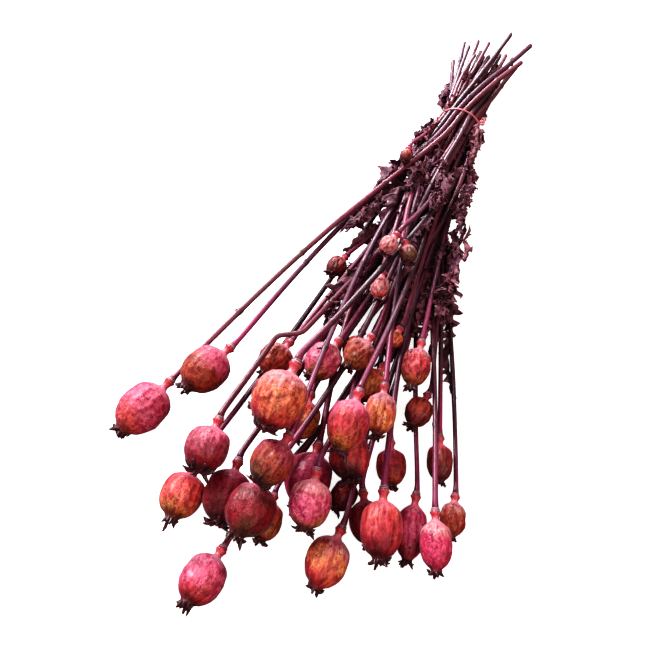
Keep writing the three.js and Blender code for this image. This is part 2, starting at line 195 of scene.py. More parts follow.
# Pinkish dye for a leaf's edges, which is a painted highlight, and for its random dusty patches
LEAF_DUST_AND_EDGE_HIGHLIGHT_DYE = (0.31, 0.13, 0.17)
BAND_DYE = (0.72, 0.22, 0.24)
# Painted shade: how dark the undersides of stems and heads are made, as a share of their dye
UNDER_SHADE = 0.36

# What the dye is multiplied by in the skin's dark and pale patches
DARK_PATCH = (0.34, 0.12, 0.24)
PALE_PATCH = (1.2, 2.6, 2.1)

# One row for each poppy: the dye at the neck end of its case, at its middle and at its crown end, how
# wrinkled it is, how many rays its crown has, how far they lean forward (1 is straight ahead), and how
# its marks lie (below 1 they run along the case, and above 1 across it).
HEADS = [
    (ROSE, ROSE, CORAL, 0.25, 10, 0.5, 1.2),
    (ROSE, BROWN, BROWN, 0.35, 11, 0.6, 0.9),
    (ROSE, PLUM, CRIMSON, 0.3, 13, 0.2, 1.1),
    (RED, CORAL, GOLD, 0.2, 11, 0.7, 0.8),
    (MAGENTA, CRIMSON, WINE, 0.25, 12, 0.3, 1.1),
    (WINE, CRIMSON, KHAKI, 0.2, 12, 0.6, 0.8),
    (PLUM, BROWN, KHAKI, 0.25, 13, 0.0, 0.9),
    (MAUVE, ROSE, RED, 0.2, 10, 0.5, 0.7),
    (CORAL, OLIVE, BROWN, 0.3, 10, 0.4, 0.8),
    (DUSTY, ROSE, OLIVE, 0.3, 13, 0.4, 0.9),
    (MAGENTA, MAGENTA, MAGENTA, 0.15, 11, 0.4, 0.9),
    (DUSTY, ORANGE, RED, 0.35, 13, 0.1, 0.9),
    (MAUVE, ROSE, CRIMSON, 0.35, 11, 0.4, 0.9),
    (CORAL, GOLD, OLIVE, 0.35, 11, 0.3, 0.9),
    (DUSTY, BROWN, BROWN, 0.8, 10, 0.5, 0.9),
    (PALE, ROSE, OLIVE, 0.8, 10, 0.4, 0.9),
    (DUSTY, BROWN, OLIVE, 0.8, 9, 0.4, 0.9),
    (CORAL, ORANGE, BROWN, 0.8, 9, 0.4, 0.9),
    (ROSE, RED, GOLD, 0.3, 12, 0.4, 0.45),
    (PALE, ORANGE, ORANGE, 0.3, 11, 0.5, 0.5),
    (ORANGE, GOLD, BROWN, 0.5, 10, 0.4, 0.7),
    (CRIMSON, RED, MAROON, 0.35, 12, 0.3, 0.7),
    (MAROON, CRIMSON, MAROON, 0.3, 10, 0.4, 0.8),
    (DUSTY, ORANGE, RED, 0.15, 10, 0.5, 0.5),
    (CRIMSON, CRIMSON, WINE, 0.25, 10, 0.4, 0.5),
    (CORAL, RED, CRIMSON, 0.15, 12, 0.4, 0.45),
    (CRIMSON, CRIMSON, BROWN, 0.2, 10, 0.6, 0.8),
    (BROWN, BROWN, WINE, 0.5, 10, 0.5, 0.7),
    (DUSTY, RED, OLIVE, 0.8, 10, 0.6, 0.8),
    (PINK, ROSE, CRIMSON, 0.2, 10, 0.5, 0.6),
    (DUSTY, PINK, PINK, 0.25, 11, 0.5, 0.7),
    (PALE, BROWN, BROWN, 0.35, 10, 0.6, 0.9),
    (RED, RUST, WINE, 0.4, 10, 0.5, 0.5),
    (PALE, DUSTY, BROWN, 0.7, 10, 0.1, 0.9),
    (DUSTY, KHAKI, KHAKI, 0.8, 9, 0.4, 0.9),
    (DUSTY, DUSTY, CORAL, 0.6, 9, 0.4, 0.9),
    (GOLD, ORANGE, BROWN, 0.9, 9, 0.4, 0.9),
    (PLUM, RUST, WINE, 0.9, 10, 0.3, 0.9),
    (CORAL, RUST, WINE, 0.3, 9, 0.5, 0.9),
]

# ------------------------ reading the frame


def rings_of(node):
    """A CAD solid's cross rings, each as (centre, radius), from the end nearest the cut ends."""
    mesh = bmesh.new()
    mesh.from_mesh(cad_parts[node].data)
    bmesh.ops.remove_doubles(mesh, verts=mesh.verts, dist=1e-6)
    mesh.verts.index_update()
    poles = sorted(mesh.verts, key=lambda v: (len(v.link_edges), v.index))[-2:]
    ring = [max(poles, key=lambda v: v.co.y)]
    seen = {ring[0].index}
    rings = []
    while ring:
        points = np.array([v.co[:] for v in ring]) / MM
        centre = points.mean(0)
        rings.append((centre, np.linalg.norm(points - centre, axis=1).mean()))
        found = {}
        for vertex in ring:
            for edge in vertex.link_edges:
                other = edge.other_vert(vertex)
                if other.index not in seen:
                    found[other.index] = other
        seen.update(found)
        ring = [found[index] for index in sorted(found)]
    mesh.free()
    return rings


# Where the named rings of a poppy's solid are, counted back from the pole in its crown
CAP_RING = -2
CROWN_RING = -3
COLLAR_RING = -11

Poppy = namedtuple("Poppy", "name stem stem_radii collar case axis look rng")
Look = namedtuple("Look", "near middle far wrinkle rays forward lay")


def read_poppy(name, look, seed):
    rings = rings_of(name)
    centres = np.array([centre for centre, _ in rings])
    radii = np.array([radius for _, radius in rings])
    collar, crown = centres[COLLAR_RING], centres[CROWN_RING]
    axis = (crown - collar) / np.linalg.norm(crown - collar)
    case = [((centres[i] - collar) @ axis, radii[i]) for i in range(COLLAR_RING, CAP_RING)]
    stem, stem_radii = centres[1:COLLAR_RING], radii[1:COLLAR_RING]
    rng = np.random.default_rng(seed)
    return Poppy(name, stem, stem_radii, collar, np.array(case), axis, Look(*look), rng)


# ------------------------ lines and surfaces


def distances(points):
    steps = np.linalg.norm(np.diff(points, axis=0), axis=1)
    return np.concatenate([[0.0], np.cumsum(steps)])


def places_along(along, step):
    """Places about one step apart, from the start of a line to its end."""
    return np.linspace(0, along[-1], max(2, round(along[-1] / step) + 1))


def points_at(places, along, points):
    """The points at some places along a line, given how far along it each of its own points is."""
    return np.stack([np.interp(places, along, points[:, axis]) for axis in range(3)], -1)


def smooth_line(points, step):
    """Points one step apart on a smooth curve through the given ones."""
    points = np.asarray(points, float)
    along = distances(points)
    slopes = np.gradient(points, along, axis=0)
    at = places_along(along, step)
    i = np.clip(np.searchsorted(along, at, side="right") - 1, 0, len(along) - 2)
    gap = (along[i + 1] - along[i])[:, None]
    t = (at - along[i])[:, None] / gap
    a = points[i] * (2 * t**3 - 3 * t**2 + 1) + slopes[i] * gap * (t**3 - 2 * t**2 + t)
    b = points[i + 1] * (3 * t**2 - 2 * t**3) + slopes[i + 1] * gap * (t**3 - t**2)
    return a + b


def bent_line(points, step):
    """Points one step apart on straight runs between the given ones, with the corners rounded off."""
    points = np.asarray(points, float)
    rough = [points[:1]]
    for before, corner, after in zip(points[:-2], points[1:-1], points[2:]):
        back, ahead = unit(before - corner), unit(after - corner)
        reach = np.interp(-(back @ ahead), (0.88, 0.97), (SHARP_BEND, GENTLE_BEND))
        start = corner + back * min(reach, 0.5 * np.linalg.norm(before - corner))
        finish = corner + ahead * min(reach, 0.5 * np.linalg.norm(after - corner))
        t = np.linspace(0, 1, 7)[:, None]
        rough.append(start * (1 - t) ** 2 + corner * 2 * t * (1 - t) + finish * t**2)
    rough = np.vstack([*rough, points[-1:]])
    along = distances(rough)
    return points_at(places_along(along, step), along, rough)


def unit(vectors):
    return vectors / np.linalg.norm(vectors, axis=-1, keepdims=True)


def sides_of(ways):
    """The level and the upright direction across each way along a line."""
    level = unit(np.cross(ways, (0.0, 0.0, 1.0)))
    return level, np.cross(level, ways)


def ramp(value, low, high):
    """Rises smoothly from 0 at low to 1 at high."""
    t = np.clip((value - low) / (high - low), 0, 1)
    return t * t * (3 - 2 * t)


def mix(a, b, share):
    """Colour a, or b where share is 1."""
    share = np.asarray(share, float)[..., None]
    return np.asarray(a, float) * (1 - share) + np.asarray(b, float) * share


def ring_faces(rows, columns):
    """Outward quads between rows of rings, closed round."""
    row = np.arange(rows - 1)[:, None] * columns
    here = np.arange(columns)[None, :]
    after = (here + 1) % columns
    quads = [row + here, row + here + columns, row + after + columns, row + after]
    return np.stack(quads, -1).reshape(-1, 4).tolist()


def noise_at(points, size):
    """Smooth noise from -1 to 1 at each point, with features of about that size."""
    return np.array([noise.noise(Vector(point)) for point in np.asarray(points) / size])


def new_object(name, data):
    made = bpy.data.objects.new(name, data)
    bpy.context.scene.collection.objects.link(made)
    return made


class Surface:
    """Vertices and faces with a dye, a grain position and a share of flecks at each vertex."""

    def __init__(self):
        self.vertices, self.faces, self.dyes, self.grains, self.flecks = [], [], [], [], []
        self.count = 0

    def add(self, points, faces, dyes, grains, flecks):
        points = np.asarray(points, float).reshape(-1, 3)
        self.faces += [[index + self.count for index in face] for face in faces]
        self.vertices.append(points)
        self.dyes.append(np.broadcast_to(dyes, points.shape))
        self.grains.append(np.asarray(grains, float).reshape(-1, 3))
        self.flecks.append(np.broadcast_to(flecks, len(points)))
        self.count += len(points)

    def rings(self, points, dyes, grains, flecks):
        """Adds rows of rings as one closed surface, with a face across each end."""
        rows, columns = points.shape[:2]
        faces = ring_faces(rows, columns)
        faces.append(list(range(columns)))
        faces.append(list(range(rows * columns - 1, (rows - 1) * columns - 1, -1)))
        self.add(points, faces, dyes, grains, flecks)

    def build(self, name, material):
        mesh = bpy.data.meshes.new(name)
        points = np.concatenate(self.vertices)
        points[:, 2] = np.maximum(points[:, 2], FLOOR_GAP)
        mesh.from_pydata((points * MM).tolist(), [], self.faces)
        dyes = np.concatenate(self.dyes)
        colour = mesh.attributes.new("dye", "FLOAT_COLOR", "POINT")
        colour.data.foreach_set("color", np.column_stack([dyes, np.ones(len(dyes))]).ravel())
        grain = mesh.attributes.new("grain", "FLOAT_VECTOR", "POINT")
        grain.data.foreach_set("vector", np.concatenate(self.grains).ravel())
        fleck = mesh.attributes.new("fleck", "FLOAT", "POINT")
        fleck.data.foreach_set("value", np.concatenate(self.flecks).astype(np.float32))
        mesh.polygons.foreach_set("use_smooth", [True] * len(mesh.polygons))
        mesh.materials.append(material)
        return new_object(name, mesh)


def swept(line, radii, angles):
    """Rings round a line. radii is one radius for each ring, or one for each ring and column."""
    level, upright = sides_of(unit(np.gradient(line, axis=0)))
    radii = np.asarray(radii, float)
    if radii.ndim == 1:
        radii = radii[:, None]
    across = level[:, None] * np.cos(angles)[None, :, None]
    rise = upright[:, None] * np.sin(angles)[None, :, None]
    return line[:, None] + (across + rise) * radii[..., None]


def column_angles(columns):
    return np.arange(columns) / columns * 2 * math.pi


def streak_grain(angles, along, seed_place):
    """A grain position that stretches noise into streaks along a stem."""
    grid = np.zeros((len(along), len(angles), 3))
    grid[..., 0] = np.cos(angles)[None] * 3 + seed_place
    grid[..., 1] = np.sin(angles)[None] * 3
    grid[..., 2] = along[:, None] * 0.12
    return grid


# ------------------------ poppies


def add_stub(surface, base, way, length, radius, dye):
    """A dry stump of a leaf stalk: a short bent cone."""
    droop = np.array([0, 0, -0.25 * length])
    line = np.array([base, base + way * length * 0.55, base + way * length + droop * 0.4])
    line = smooth_line(line, length / 4)
    share = np.linspace(0, 1, len(line))
    angles = column_angles(6)
    rings = swept(line, radius * (1 - 0.6 * share**2), angles)
    surface.rings(rings, dye, streak_grain(angles, share * length, radius), 0.0)


def stem_line(poppy):
    """The middle line of a stem, from its cut end to just under the collar."""
    end = poppy.collar - poppy.axis * STEM_END_GAP
    before = poppy.collar - poppy.axis * STRAIGHT_UNDER_HEAD
    nodes = poppy.stem[np.linalg.norm(poppy.stem - poppy.collar, axis=1) > CLEAR_OF_HEAD]
    return bent_line(np.vstack([nodes, before, end]), STEM_STEP)


def add_stem(surface, poppy):
    """The stem, from its cut end to the flare under the collar."""
    rng = poppy.rng
    line = stem_line(poppy)
    along = distances(line)
    length = along[-1]
    cad_along = distances(np.vstack([poppy.stem, poppy.collar]))
    radii = np.interp(along, cad_along[:-1], poppy.stem_radii)
    sway = np.sin(along / rng.uniform(14, 26) + rng.uniform(0, 6))
    radii = radii * (1 + 0.045 * sway) * (1 - 0.06 * (1 - along / length))
    flare = ramp(along, length - FLARE_LENGTH, length)
    radii = radii + (FLARE_SHARE * poppy.case[0][1] - radii) * flare**1.5
    angles = column_angles(STEM_COLUMNS)
    flutes = rng.normal(0, FLUTE_DEPTH, STEM_COLUMNS)
    pinkness = rng.uniform(0.1, 1.0) * ramp(length - along, PINK_END_LENGTH, 5)
    tone = mix(STEM_DYES[rng.integers(len(STEM_DYES))], STEM_TOP_DYE, pinkness)
    tone = tone * (1 + 0.18 * np.sin(along / 37 + rng.uniform(0, 6)))[:, None]
    radii, tone = add_stem_nodes(surface, line, radii, tone, rng)
    rings = swept(line, radii[:, None] * (1 + flutes[None, :] * (1 - 0.7 * flare)[:, None]), angles)
    # Painted shade: the stem's underside is darkened
    under = UNDER_SHADE + (1 - UNDER_SHADE) * ramp(np.sin(angles), -0.75, 0.35)
    # Painted shade and highlight: each column is darker where its flute is sunk and lighter where it
    # stands out
    dyes = tone[:, None] * (under * (1 + 5 * flutes))[None, :, None]
    grain = streak_grain(angles, along, rng.uniform(0, 50))
    rings[0] += slant(rings[0], line[0] - line[1], rng)
    cut = cut_end(rings)
    rings = np.concatenate([cut, rings])
    # Painted shade: the pith dye darkens towards the bottom of the hollow
    dyes = np.concatenate([np.broadcast_to(PITH_DYE, cut.shape) * CUT_SHADES, dyes])
    grain = np.concatenate([np.repeat(grain[:1], len(cut), 0), grain])
    surface.rings(rings, dyes.reshape(-1, 3), grain, 0.0)


def add_stem_nodes(surface, line, radii, tone, rng):
    """Swells and darkens a stem at its nodes, some of which keep the stub of a leaf stalk."""
    along = distances(line)
    place = rng.uniform(*FIRST_NODE)
    while place < along[-1] - LAST_NODE_GAP:
        bump = np.exp(-(((along - place) / STEM_NODE_LENGTH) ** 2))
        radii = radii * (1 + STEM_NODE_SWELL * bump)
        tone = mix(tone, GROOVE_DYE, 0.75 * bump)
        if rng.random() < STUB_CHANCE:
            index = int(np.argmin(abs(along - place)))
            way = unit(line[index + 1] - line[index])
            out = across_way(way, rng)
            radius = radii[index]
            base = line[index] + out * radius * 0.5
            way = unit(out + way * rng.uniform(0.2, 1.2))
            add_stub(surface, base, way, rng.uniform(*STUB_LENGTHS), radius * 0.55, tone[index])
        place += rng.uniform(*STEM_NODE_GAP)
    return radii, tone


def across_way(way, rng):
    """A direction across the given one, turned about it by chance."""
    turn = rng.uniform(0, 2 * math.pi)
    level, upright = sides_of(way[None])
    return level[0] * math.cos(turn) + upright[0] * math.sin(turn)


def slant(ring, way, rng):
    """How far to push each point of a cut end on, so that the cut lies at a slant."""
    reach = (ring - ring.mean(0)) @ across_way(unit(way), rng)
    return unit(way) * (reach * rng.uniform(0.0, 1.6) * (reach > 0))[:, None]


# Painted shade in a cut end's hollow: how light the pith is at each ring, from the hollow's bottom to
# its rim
CUT_SHADES = np.reshape([0.2, 0.5, 1.0], (3, 1, 1))


def cut_end(rings):
    """The rings of a cut end: a hollow, darker with painted shade, inside a paler rim of pith."""
    centre = rings[0].mean(0)
    inward = unit(rings[1].mean(0) - centre)
    rim = rings[0] - centre
    bottom = centre + rim * 0.3 + inward * 1.6
    hollow = centre + rim * 0.5
    pith = centre + rim * 0.92 - inward * 0.15
    return np.array([bottom, hollow, pith])


# The ringed collar of a full head: place along the axis, and share of the collar's CAD radius
COLLAR_PROFILE = [
    (-2.6, 0.50), (-2.2, 0.72), (-1.9, 0.84), (-1.6, 0.83), (-1.35, 0.72),
    (-1.1, 0.72), (-0.85, 0.88), (-0.4, 0.91), (-0.1, 0.80), (0.15, 0.80),
    (0.5, 0.97), (1.0, 1.04), (1.5, 1.02), (2.2, 0.93), (3.0, 0.83),
]


def collar_size(waist_at):
    """How long a collar is beside a full one: small heads have short ones."""
    return min(1.0, waist_at / FULL_WAIST_PLACE)


def case_outline(case):
    """Outline of the collar, neck and seed case, as (place along the axis, radius)."""
    collar = case[0][1]
    waist_at, waist = case[1]
    case_start = case[2][0]
    unit_size = collar_size(waist_at)
    points = [(place * unit_size, share * collar) for place, share in COLLAR_PROFILE]
    points += [
        (0.9 * waist_at, 0.35 * collar + 0.55 * waist),
        (0.75 * waist_at + 0.25 * case_start, 0.97 * waist),
        (0.35 * waist_at + 0.65 * case_start, 1.22 * waist),
    ]
    points += [(place, radius) for place, radius in case[2:-1]]
    crown_at, crown = case[-1]
    neck = min(0.66 * crown, 0.92 * case[-2][1])
    points += [(crown_at - 0.6, neck)]
    return np.array(points)


# The bands of the collar, from the stem's side: where each ends along the axis, and its dye
COLLAR_BANDS = [(-1.5, RIM_DYE), (-0.95, GROOVE_DYE), (-0.25, PALE_RING_DYE), (0.32, GROOVE_DYE)]


def head_dyes(look, unit_size, place, share, patches):
    """Dyes over a head: the case's three dyes, its dark tip, the neck and the collar's bands."""
    across = np.ones(patches.shape[1])
    height = share[:, None] + 0.35 * patches
    dyes = mix(look.near, look.middle, ramp(height, 0.05, 0.42))
    dyes = mix(dyes, look.far, ramp(height, 0.5, 0.95))
    dyes = mix(dyes, MAROON, 0.8 * ramp(share[:, None] + 0.12 * patches, 0.82, 1.0))
    base = ramp(share, -0.2, 0.0) * (1 - ramp(share, 0.02, 0.2))
    dyes = mix(dyes, BASE_DYE, 0.7 * base[:, None] * across)
    dyes = mix(dyes, NECK_DYE, (1 - ramp(share, -0.16, -0.02))[:, None] * across)
    for end, dye in reversed(COLLAR_BANDS):
        dyes = mix(dyes, dye, (place < end * unit_size)[:, None] * across)
    return dyes


# From the middle of a ray (0) to halfway to the next one (1): how long a crown is there when its rays
# are free fingers and when they are short teeth on a skirt, and how far its points pinch towards the ray
RAY_PHASES = [0, 0.2, 0.4, 0.6, 0.8, 1]
FINGER_LENGTHS = [1, 0.99, 0.95, 0.80, 0.52, 0.46]
TOOTH_LENGTHS = [1, 0.98, 0.94, 0.87, 0.77, 0.72]
PINCHED_PHASES = [0, 0.2, 0.44, 0.62, 0.74, 1]


def crown_rows(look, neck, reach, rng):
    """Rows of a crown, out under its rays and back over them: radius, rise, turn and how ridged."""
    rays = look.rays
    half = COLUMNS_PER_RAY // 2
    phase = np.tile((np.arange(COLUMNS_PER_RAY) - half) / half, rays)
    ray = np.repeat(np.arange(rays), COLUMNS_PER_RAY)
    fingers = np.interp(abs(phase), RAY_PHASES, FINGER_LENGTHS)
    teeth = np.interp(abs(phase), RAY_PHASES, TOOTH_LENGTHS)
    lobe = fingers + (teeth - fingers) * ramp(look.forward, 0.2, 0.6)
    pinch = np.interp(abs(phase), RAY_PHASES, PINCHED_PHASES) - abs(phase)
    pinch = pinch * np.sign(phase) * math.pi / rays
    length = reach * (rng.uniform(0.82, 1.05, rays) * rng.choice([1, 1, 1, 0.8], rays))[ray]
    lean = look.forward + rng.normal(0, 0.14, rays)[ray]
    curl = rng.normal(-0.25, 0.25, rays)[ray]
    sway = rng.normal(0, 0.08, rays)[ray]
    out = np.maximum(length * lobe, neck * 1.05)
    ridge = np.maximum(0, 1 - abs(phase) * 2.2)
    rows = []
    for under in (True, False):
        shares = np.linspace(0.15, 1, CROWN_ROWS) if under else np.linspace(0.97, 0.08, CROWN_ROWS)
        for share in shares:
            radius = neck * (1 - share) + out * share if under else out * share
            radius = radius * (1 - 0.35 * np.maximum(lean, 0) * share)
            rise = lean * out * share**1.2 + curl * out * share**3
            over = 0.0 if under else 0.8 - 0.45 * share + 0.7 * ridge * math.sin(math.pi * share) ** 0.7
            turn = sway * share**2 + pinch * share
            rows.append((radius, rise + over, turn, 0 * ridge if under else ridge))
    return rows


# A head's outline as rows along its axis and columns round it. local is where each point is on the
# head itself, and offset moves the noises, so that no two heads are alike.
Grid = namedtuple("Grid", "angles place radius share local offset")

# What the relief and the dyes of a head share. half is the case's widest radius, phase is each column's
# turn within its ray (0 is between two ribs), and fade is 1 on the case and 0 beyond its ends.
Skin = namedtuple("Skin", "half phase dents folds puckers fade")


def head_grid(poppy):
    angles = column_angles(poppy.look.rays * COLUMNS_PER_RAY)
    outline = smooth_line(case_outline(poppy.case), HEAD_STEP)
    place, radius = outline[:, 0], outline[:, 1]
    start, end = poppy.case[2][0], poppy.case[-1][0]
    share = (place - start) / (end - start)
    local = np.zeros((len(place), len(angles), 3))
    local[..., :2] = np.stack([np.cos(angles), np.sin(angles)], -1) * radius[:, None, None]
    local[..., 2] = place[:, None]
    return Grid(angles, place, radius, share, local, poppy.rng.uniform(0, NOISE_SPAN, 3))


def noise_on(grid, stretch, size):
    """Noise over a head. Where stretch is below 1 it is drawn out along the head."""
    points = (grid.local + grid.offset) * [1, 1, stretch]
    return noise_at(points.reshape(-1, 3), size).reshape(points.shape[:2])


def head_skin(poppy, grid):
    half = poppy.case[2:-1, 1].max()
    phase = np.arange(len(grid.angles)) % COLUMNS_PER_RAY / COLUMNS_PER_RAY * 2 * math.pi
    dents = noise_on(grid, 0.8, half * 0.9)
    folds = 1 - 2.2 * abs(noise_on(grid, 0.55, half * 0.36))
    puckers = noise_on(grid, poppy.look.lay, PUCKER_SIZE)
    fade = ramp(grid.share, -0.02, 0.12) * (1 - ramp(grid.share, 0.97, 1.05))
    return Skin(half, phase, dents, folds, puckers, fade)


def head_swell(poppy, grid, skin):
    """How many times its outline's radius each point of a head is from the axis."""
    wrinkle, place = poppy.look.wrinkle, grid.place
    ribs = np.exp(-((1 + np.cos(skin.phase)) ** 2) / 0.35)[None, :] - 0.35
    relief = RIB_HEIGHT * ribs * (1 + skin.dents * 1.4) + DENT_DEPTH * skin.dents * (0.6 + wrinkle)
    relief = relief + WRINKLE_DEPTH * wrinkle * (skin.folds - 0.4) + PUCKER_DEPTH * skin.puckers
    relief = relief + FACET_DEPTH * noise_on(grid, 0.12, skin.half * 0.5)
    waist_at = poppy.case[1][0]
    size = collar_size(waist_at)
    flange = ramp(place, 0.5 * size, 1.2 * size) * (1 - ramp(place, 1.4 * size, 0.9 * waist_at))
    frill = 0.03 * np.cos(grid.angles * poppy.look.rays) + 0.08 * noise_on(grid, 1.0, FRILL_SIZE)
    return 1 + skin.fade[:, None] * relief + flange[:, None] * frill


def rib_marks(grid, look):
    """Dark marks, about as wide as a rib, that line up along the ribs: from 0 to 1."""
    spots = np.zeros(grid.local.shape)
    spots[..., :2] = np.stack([np.cos(grid.angles), np.sin(grid.angles)], -1) * look.rays / MARK_WIDTH
    spots[..., 2] = grid.place[:, None] * min(look.lay, 1.2) / MARK_LENGTH
    marks = noise_at(spots.reshape(-1, 3) + grid.offset, 1.0).reshape(spots.shape[:2])
    return ramp(marks, -0.02, 0.28)


def marked_dyes(poppy, grid, skin, spokes):
    """Dyes over a head, with its marks, painted shade in its grooves, folds and puckers, and painted
    shade on its underside.
    """
    patches = noise_on(grid, 0.5, skin.half * 0.75)
    size = collar_size(poppy.case[1][0])
    dyes = head_dyes(poppy.look, size, grid.place, grid.share, patches)
    marks = rib_marks(grid, poppy.look)
    # Painted shade in the grooves between ribs, in the low parts of folds and in the hollows of puckers
    painted_groove_shade = ramp(np.cos(skin.phase), 0.5, 1.0) * ramp(skin.dents, -0.35, 0.25)
    shade = 0.5 * poppy.look.wrinkle * ramp(-skin.folds, -0.55, 0.3) + SEAM_SHADE * painted_groove_shade
    shade = (shade + PUCKER_SHADE * ramp(-skin.puckers, 0.05, 0.4)) * skin.fade[:, None]
    dyes = mix(dyes, dyes * MARK_TINT, marks * skin.fade[:, None])
    dyes = dyes * (1 - shade[..., None] * SHADE_TINT)
    # Painted shade: the head's underside is darkened
    under = UNDER_SHADE + (1 - UNDER_SHADE) * ramp(spokes[:, 2], -0.7, 0.5)
    return dyes * under[None, :, None]


def spokes_at(axis, angles):
    """The direction straight out from an axis at each angle round it."""
    level, upright = sides_of(axis[None])
    return level[0] * np.cos(angles)[:, None] + upright[0] * np.sin(angles)[:, None]


def add_head(surface, poppy):
    """Collar, neck, ribbed seed case and crown as one closed surface."""
    look, rng = poppy.look, poppy.rng
    grid = head_grid(poppy)
    skin = head_skin(poppy, grid)
    spokes = spokes_at(poppy.axis, grid.angles)
    swollen = grid.radius[:, None] * head_swell(poppy, grid, skin)
    middle = poppy.collar + poppy.axis * grid.place[:, None, None]
    body = [middle + spokes[None] * swollen[..., None]]
    dyes = [marked_dyes(poppy, grid, skin, spokes)]
    grains = [grid.local * [1, 1, look.lay] + grid.offset]
    flecks = [np.repeat(ramp(grid.share, -0.05, 0.1)[:, None], len(grid.angles), 1)]

    crown_at, crown = poppy.case[-1]
    for reach, rise, turn, ridge in crown_rows(look, grid.radius[-1], crown * CROWN_REACH, rng):
        turned = grid.angles + turn
        ways = spokes_at(poppy.axis, turned)
        heights = crown_at - CROWN_SINK + rise
        body.append((poppy.collar + poppy.axis * heights[:, None] + ways * reach[:, None])[None])
        wobble = 0.7 + 0.6 * rng.random(len(turned))
        # Painted highlight: the ridges on top of the rays are lighter
        dyes.append((mix(CROWN_DYE, CROWN_RIDGE_HIGHLIGHT_DYE, ridge * 0.8) * wobble[:, None])[None])
        ring = np.stack([np.cos(turned) * reach, np.sin(turned) * reach, crown_at + rise], -1)
        grains.append((ring + grid.offset)[None])
        flecks.append(np.zeros((1, len(turned))))
    dyes = np.concatenate(dyes).reshape(-1, 3)
    surface.rings(np.concatenate(body), dyes, np.concatenate(grains), np.concatenate(flecks).ravel())


def add_poppy(name, look, seed, material):
    poppy = read_poppy(name, look, seed)
    surface = Surface()
    add_stem(surface, poppy)
    add_head(surface, poppy)
    piece = surface.build(name + "_dried", material)
    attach(piece, "root")
    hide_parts(name)
    return poppy


# ------------------------ leaves


def saw(value):
    """A wave of straight sides and sharp tips, from 0 to 1."""
    return 1 - abs(2 * (value % 1) - 1)


def leaf_teeth(along, side, length, rng):
    """How far a leaf reaches at each point, as a share of its width: large lobes with small teeth."""
    lobes = rng.uniform(0.07, 0.11, 2)[side] * length
    start = rng.uniform(0, 1, 2)[side]
    uneven = along + 0.05 * np.sin(along * rng.uniform(9, 17) + rng.uniform(0, 6))
    tooth = saw(uneven[:, None] * lobes + start) ** 1.8
    return 0.36 + 0.62 * tooth + 0.25 * saw(uneven[:, None] * lobes * 2.6 + start) ** 2


def leaf_fold(along, side, rng):
    """How far each half of a leaf is folded up from its midrib, and how the leaf twists along it."""
    fold = rng.uniform(0.5, 1.5, 2)[side] * np.sign(rng.normal())
    fold = fold + rng.normal(0, 0.25, LEAF_ROWS)[:, None]
    fold = fold + rng.uniform(0.3, 0.9) * np.sin(along * rng.uniform(4, 9) + rng.uniform(0, 6))[:, None]
    turn = rng.normal(0, 0.8) + rng.uniform(-1.2, 1.2) * along[:, None]
    return fold, turn


def leaf_sheet(line, width, rng):
    """A toothed leaf folded along its midrib and crumpled, as a grid of points and of edge shares."""
    along = np.linspace(0, 1, LEAF_ROWS)
    share = np.linspace(0, 1, len(line))
    middle = points_at(along, share, line)
    ways = unit(np.gradient(middle, axis=0))
    level, upright = sides_of(ways)
    across = np.linspace(-1, 1, LEAF_COLUMNS)
    side = np.where(across < 0, 0, 1)
    teeth = leaf_teeth(along, side, distances(line)[-1], rng)
    envelope = np.sin(math.pi * np.clip(along, 0.03, 0.97)) ** 0.5
    reach = width * envelope[:, None] * teeth * across
    swept_on = 0.45 * width * (teeth - 0.3) * abs(across)
    fold, turn = leaf_fold(along, side, rng)
    curl = fold * abs(across)
    out = reach * np.cos(curl)
    lift = abs(reach) * np.sin(curl)
    points = middle[:, None] + level[:, None] * (out * np.cos(turn) - lift * np.sin(turn))[..., None]
    points = points + upright[:, None] * (out * np.sin(turn) + lift * np.cos(turn))[..., None]
    points = points + ways[:, None] * swept_on[..., None]
    return crumpled(points, rng), np.repeat(abs(across)[None], LEAF_ROWS, 0)


def crumpled(points, rng):
    """Pushes a leaf's points about in creases of several sizes."""
    flat = points.reshape(-1, 3) + rng.uniform(0, 400)
    for size, amount in CREASES:
        push = np.stack([noise_at(flat + 31.7 * k, size) for k in range(3)], -1)
        points = points + amount * push.reshape(points.shape)
    return points


def add_leaf_sheet(surface, points, edges, dye, rng):
    """Gives a leaf's grid of points its thickness and colours."""
    rows, columns = points.shape[:2]
    along = np.gradient(points, axis=0)
    across = np.gradient(points, axis=1)
    normal = unit(np.cross(along, across) + 1e-9)
    thin = LEAF_THICKNESS * (1 - 0.6 * edges)[..., None]
    both = np.concatenate([points + normal * thin / 2, points - normal * thin / 2])
    index = np.arange(rows * columns).reshape(rows, columns)
    front = np.stack([index[:-1, :-1], index[1:, :-1], index[1:, 1:], index[:-1, 1:]], -1)
    back = front[..., ::-1] + rows * columns
    rim = np.concatenate([index[0], index[1:, -1], index[-1, -2::-1], index[-2:0:-1, 0]])
    after = np.roll(rim, -1)
    edge = np.stack([rim, after, after + rows * columns, rim + rows * columns], -1)
    faces = front.reshape(-1, 4).tolist() + back.reshape(-1, 4).tolist() + edge.tolist()
    patch = noise_at(points.reshape(-1, 3) + 90, 7).reshape(rows, columns)
    # Painted highlight towards the leaf's edges, mixed with random dusty patches
    tint = mix(dye, LEAF_DUST_AND_EDGE_HIGHLIGHT_DYE, np.clip(0.5 * edges**3 + 0.45 * ramp(patch, 0.05, 0.6), 0, 1))
    tint = np.concatenate([tint, tint * 0.8])
    grain = np.concatenate([points, points]) * 0.6 + rng.uniform(0, 90)
    surface.add(both, faces, tint.reshape(-1, 3), grain, 0.0)


